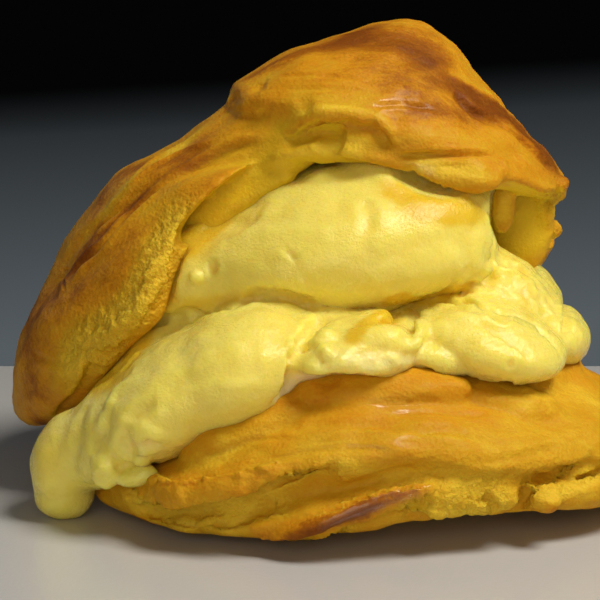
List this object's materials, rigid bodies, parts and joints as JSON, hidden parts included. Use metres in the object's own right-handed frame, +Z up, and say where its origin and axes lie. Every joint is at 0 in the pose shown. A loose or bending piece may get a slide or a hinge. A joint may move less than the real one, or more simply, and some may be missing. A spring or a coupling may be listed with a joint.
{
  "type": "cream puff",
  "caption": "Filled choux bun: a torn golden lid tipped back over thick cream on a cup-shaped choux base.",
  "frame": {"origin": "middle of the object's bounding box, at the level of the table it stands on", "axes": "+X to the right and -Y towards the open side where the cream shows, +Z up"},
  "size_m": [0.0804, 0.076, 0.0577],
  "materials": {
    "base_shell": "baked choux crust, satin with a few glossy patches",
    "cream_filling": "thick whipped custard cream, soft satin",
    "lid_shell": "baked choux crust, browned towards the crown"
  },
  "bodies": {
    "root": {"base_shell": "base_shell", "cream_filling": "cream_filling", "lid_shell": "lid_shell"}
  },
  "joints": []
}
